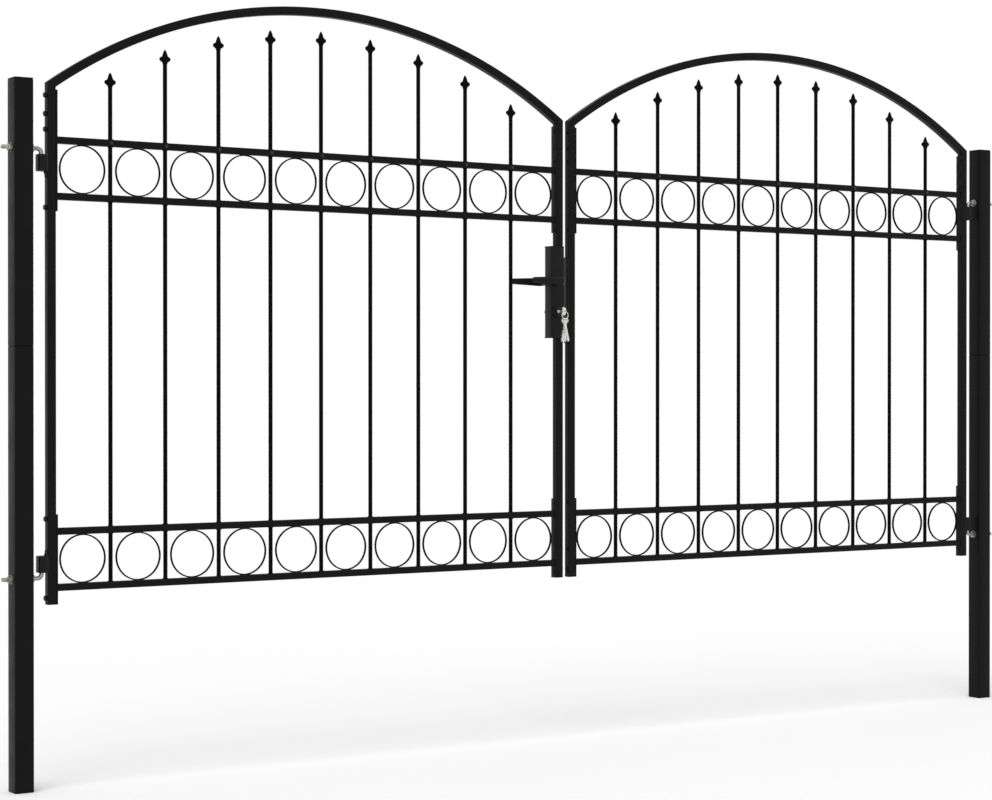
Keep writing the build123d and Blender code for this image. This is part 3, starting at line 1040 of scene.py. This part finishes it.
def handle_roses():
    """The round plates that the levers come out of."""
    roses = Shape()
    for low, high in islands("lock_roses"):
        outward = -1 if high.y < 0 else 1
        face = high.y if outward < 0 else low.y
        radius = (high.x - low.x) / 2
        bore = radius * rose_bore_share
        height = high.y - low.y
        profile = (
            (0, bore),
            (0, radius),
            (height - rose_bevel, radius),
            (height - rose_bevel / 3, radius - rose_bevel / 3),
            (height, radius - rose_bevel),
            (height, bore),
        )
        centre = middle((low, high))
        roses.loft(turned((centre.x, face, centre.z), (0, outward, 0), profile), closed=True)
    add_piece(roses, "handle_roses", "left_leaf", "black_fittings", "lock_roses")


def profile_cylinder():
    """The lock's cylinder, with a bright plug and a keyway at each end."""
    low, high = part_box("lock_cylinder")
    centre = middle((low, high))
    radius = (high.x - low.x) / 2
    bevel = cylinder_bevel
    length = high.y - low.y
    profile = ((0, radius - bevel), (bevel, radius), (length - bevel, radius), (length, radius - bevel))
    cylinder = Shape()
    cylinder.loft(turned((centre.x, low.y, centre.z), (0, 1, 0), profile))
    add_piece(cylinder, "profile_cylinder", "left_leaf", "black_fittings", "lock_cylinder")
    plugs = Shape()
    keyway = rounded_rectangle(keyway_width, keyway_height, keyway_width / 3)
    for face in (low.y, high.y):
        turn = laid((centre.x, face, centre.z), (1, 0, 0), (0, 0, 1))
        disc = circle(radius * plug_share, round_steps)
        flat_outline(plugs, [disc, keyway], plug_thickness, key_bevel / 2, turn)
    add_piece(plugs, "cylinder_plugs", "left_leaf", "nickel")


def face_plate(node, name, body, slot, outward):
    """A plate with round ends and a screw near each end."""
    low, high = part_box(node)
    centre = middle((low, high))
    depth = high.y - low.y
    shape = Shape()
    turn = laid((centre.x, 0, centre.z), (0, 1, 0), (0, 0, 1))
    corner = depth * face_plate_round_share
    outline = rounded_rectangle(depth, high.z - low.z, corner, face_plate_corner_steps)
    flat_outline(shape, [outline], high.x - low.x, tube_end_bevel, turn)
    face = high.x if outward > 0 else low.x
    radius, height = screw_head_diameter / 2, screw_head_height
    profile = ((0, radius), (height / 2, radius), (height, radius * screw_top_share))
    for z in (low.z + screw_inset, high.z - screw_inset):
        shape.loft(turned((face, 0, z), (outward, 0, 0), profile, screw_steps))
    add_piece(shape, name, body, slot, node)


def lever(node, name, outward):
    """A lever: a round neck out of its rose that bends into a flattened, tapering arm."""
    low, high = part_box(node)
    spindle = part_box("lever_spindle")
    start, end = (low.y, high.y) if outward > 0 else (high.y, low.y)
    axis_x, z = middle(spindle).x, middle(spindle).z
    arm_y = end - outward * lever_arm_thickness / 2
    neck_end = arm_y - outward * lever_bend_radius
    rings = []

    def ring(place, along, half_height, half_thickness):
        up = Vector((0, 0, half_height))
        side = Vector((0, 0, 1)).cross(along) * half_thickness
        return [place + up * u + side * v for u, v in circle(1, lever_steps)]

    outwards = Vector((0, outward, 0))
    root = lever_root_radius
    neck = root * lever_neck_share
    rings.append(ring(Vector((axis_x, start, z)), outwards, root, root))
    rings.append(ring(Vector((axis_x, neck_end, z)), outwards, root, neck))
    for i in range(1, lever_bend_steps + 1):
        angle = pi / 2 * i / lever_bend_steps
        share = i / lever_bend_steps
        x = axis_x - lever_bend_radius * (1 - cos(angle))
        y = neck_end + outward * lever_bend_radius * sin(angle)
        along = Vector((-sin(angle), outward * cos(angle), 0))
        thick = neck * (1 - share) + lever_arm_thickness / 2 * share
        tall = root * (1 - share) + lever_arm_height / 2 * share
        rings.append(ring(Vector((x, y, z)), along, tall, thick))
    arm_start = axis_x - lever_bend_radius
    arm_end = low.x
    round_off = lever_tip_height / 2
    for i in range(1, lever_arm_steps + 1):
        share = i / lever_arm_steps
        x = arm_start + (arm_end + round_off - arm_start) * share
        tall = lever_arm_height / 2 * (1 - share) + lever_tip_height / 2 * share
        thick = lever_arm_thickness / 2 * (1 - share) + lever_tip_thickness / 2 * share
        rings.append(ring(Vector((x, arm_y, z)), Vector((-1, 0, 0)), tall, thick))
    for i in range(1, lever_tip_steps + 1):
        angle = pi / 2 * i / lever_tip_steps
        size = max(cos(angle), lever_end_share) / 2
        place = Vector((arm_end + round_off * (1 - sin(angle)), arm_y, z))
        rings.append(ring(place, Vector((-1, 0, 0)), lever_tip_height * size, lever_tip_thickness * size))
    shape = Shape()
    shape.loft(rings)
    add_piece(shape, name, "lever_handle", "black_fittings", node, sharp_deg=soft_deg)


# Keys


def key_outline(bow_radius, blade_width, blade_length, notches):
    """The outline of a key about its bow's middle: a round bow, a shoulder and a notched blade."""
    half = blade_width / 2
    gap = atan2(half, sqrt(bow_radius ** 2 - half ** 2))
    points = []
    for i in range(key_bow_steps + 1):
        angle = -pi / 2 + gap + (2 * pi - 2 * gap) * i / key_bow_steps
        points.append((bow_radius * cos(angle), bow_radius * sin(angle)))
    foot = -bow_radius - blade_length
    points += [(-half, foot + half / 2), (-half / 3, foot), (half / 3, foot)]
    if not notches:
        points.append((half, foot + half / 2))
    notch = blade_length / (len(notches) + key_notches_left_plain)
    for i, depth in enumerate(reversed(notches)):
        z = foot + half + notch * i
        points += [(half - depth, z), (half - depth, z + notch * key_notch_flat_share)]
        points.append((half - depth * key_notch_crest_share, z + notch * key_notch_rise_share))
    return points


def keys():
    """The key in the lock, the split ring and the spare keys."""
    low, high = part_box("lock_key")
    ring_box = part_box("key_ring")
    ring_centre = middle(ring_box)
    bow_radius = (high.z - low.z) / 2
    blade_width = bow_radius * key_blade_share
    centre = middle((low, high))
    centre.y = low.y + bow_radius
    shank = high.y - low.y - 2 * bow_radius
    outline = key_outline(bow_radius, blade_width, shank, ())
    hole = shifted(circle(key_bow_hole / 2, key_hole_steps), 0, centre.y - ring_centre.y)
    shape = Shape()
    flat_outline(shape, [outline, hole], key_thickness, key_bevel, laid(centre, (0, 0, 1), (0, -1, 0)))
    add_piece(shape, "door_key", "left_leaf", "nickel", "lock_key")
    split_ring(ring_box)
    bunch = Shape()
    seat = ring_box[0].z + 2 * ring_wire_radius - key_bow_hole / 2
    for i, angle in enumerate(spare_key_angles_deg):
        offset = (i - (len(spare_key_angles_deg) - 1) / 2) * spare_key_spacing
        hole_place = Vector((ring_centre.x + offset, ring_centre.y, seat))
        hang_key(bunch, hole_place, radians(angle), blade_width)
    add_piece(bunch, "bunch_keys", "left_leaf", "nickel", "spare_keys")


def split_ring(box):
    """A wire ring of two turns, side by side."""
    radius = (box[1].x - box[0].x) / 2 - ring_wire_radius
    count = int(split_ring_turns * split_ring_steps_a_turn)
    section = circle(ring_wire_radius, ring_wire_steps)
    rings = []
    for i in range(count + 1):
        angle = 2 * pi * split_ring_turns * i / count
        out = Vector((cos(angle), 0, sin(angle)))
        slide = (i / count - 0.5) * split_ring_spread_share * ring_wire_radius
        place = middle(box) + out * radius + Vector((0, slide, 0))
        rings.append([place + out * u + Vector((0, v, 0)) for u, v in section])
    wire = Shape()
    wire.loft(rings)
    add_piece(wire, "split_ring", "left_leaf", "nickel", "key_ring", sharp_deg=soft_deg)


def hang_key(shape, hole_place, angle, blade_width):
    """A spare key that hangs from the ring by the hole in its bow."""
    inset = spare_key_bow_radius - key_hole_inset
    turn = Matrix.Rotation(radians(spare_key_turn_deg), 4, "Z") @ Matrix.Rotation(angle, 4, "X")
    place = Matrix.Translation(hole_place) @ turn @ laid((0, 0, -inset), (0, 1, 0), (0, 0, 1))
    outline = key_outline(spare_key_bow_radius, blade_width, spare_key_blade, key_notch_depths)
    hole = shifted(circle(key_bow_hole / 2, key_hole_steps), 0, inset)
    flat_outline(shape, [outline, hole], key_thickness, key_bevel, place)


# Studio


def studio_sky():
    """An even white sky, weaker as a light than as a background and in reflections."""
    world = bpy.data.worlds.new("studio")
    bpy.context.scene.world = world
    world.use_nodes = True
    tree = world.node_tree
    rays = tree.nodes.new("ShaderNodeLightPath").outputs
    shown = rays["Is Camera Ray"]
    for name in ("Is Glossy Ray", "Is Transmission Ray"):
        either = tree.nodes.new("ShaderNodeMath")
        either.operation = "MAXIMUM"
        link(tree, shown, either.inputs[0])
        link(tree, rays[name], either.inputs[1])
        shown = either.outputs["Value"]
    background = tree.nodes["Background"]
    background.inputs["Color"].default_value = (1, 1, 1, 1)
    link(tree, ramp(tree, shown, sky_share, 1.0, (0.0, 1.0)), background.inputs["Strength"])


def studio_floor():
    """A pale floor, very slightly uneven in tone."""
    mesh = bpy.data.meshes.new("studio_floor")
    far = floor_reach
    mesh.from_pydata([(-far, -far, 0), (far, -far, 0), (far, far, 0), (-far, far, 0)], [], [(0, 1, 2, 3)])
    material, tree, shader, place = new_material("studio_floor")
    tone = noise_pattern(tree, place, floor_pattern_scale, detail=2.0)
    link(tree, two_colours(tree, tone, floor_shade, floor_white), shader.inputs["Base Color"])
    shader.inputs["Roughness"].default_value = floor_roughness
    shader.inputs["Specular IOR Level"].default_value = 0.0
    mesh.materials.append(material)
    show("studio_floor", mesh)


def lamp_and_camera():
    """One broad soft lamp, and the camera at the photo's viewing angle."""
    lamp_data = bpy.data.lights.new("soft_lamp", "SUN")
    lamp_data.angle = radians(lamp_spread_deg)
    lamp_data.energy = lamp_strength
    lamp = show("soft_lamp", lamp_data)
    lamp.rotation_euler = (-Vector(lamp_from)).to_track_quat("-Z", "Y").to_euler()
    camera_data = bpy.data.cameras.new("photo_camera")
    camera_data.sensor_width = sensor_width_mm
    camera_data.lens = camera_lens_mm
    camera = show("photo_camera", camera_data)
    camera.location = camera_place
    camera.rotation_euler = (radians(90 + camera_tilt_deg), 0, radians(camera_turn_deg))
    bpy.context.scene.camera = camera
    bpy.context.scene.view_settings.view_transform = "Standard"


# The finish of every solid, then the pieces and the studio
for subpart in frame["record"]["subparts"]:
    solid = frame["nodes"][subpart["node"]]
    solid.data.materials.clear()
    solid.data.materials.append(materials[subpart["material_slot"]])

posts()
hinges()
stiles()
arch_tube()
bands_and_rings()
round_pickets()
plug_welds()
cast_spears()
bolting_plates()
frame_bolts()
lock_case()
handle_roses()
profile_cylinder()
face_plate("lock_forend", "lock_face_plate", "left_leaf", "bright_steel", 1)
face_plate("right_strike_plate", "right_strike_keep", "right_leaf", "black_fittings", -1)
lever("front_lever", "front_handle", -1)
lever("back_lever", "back_handle", 1)
keys()
studio_sky()
studio_floor()
lamp_and_camera()
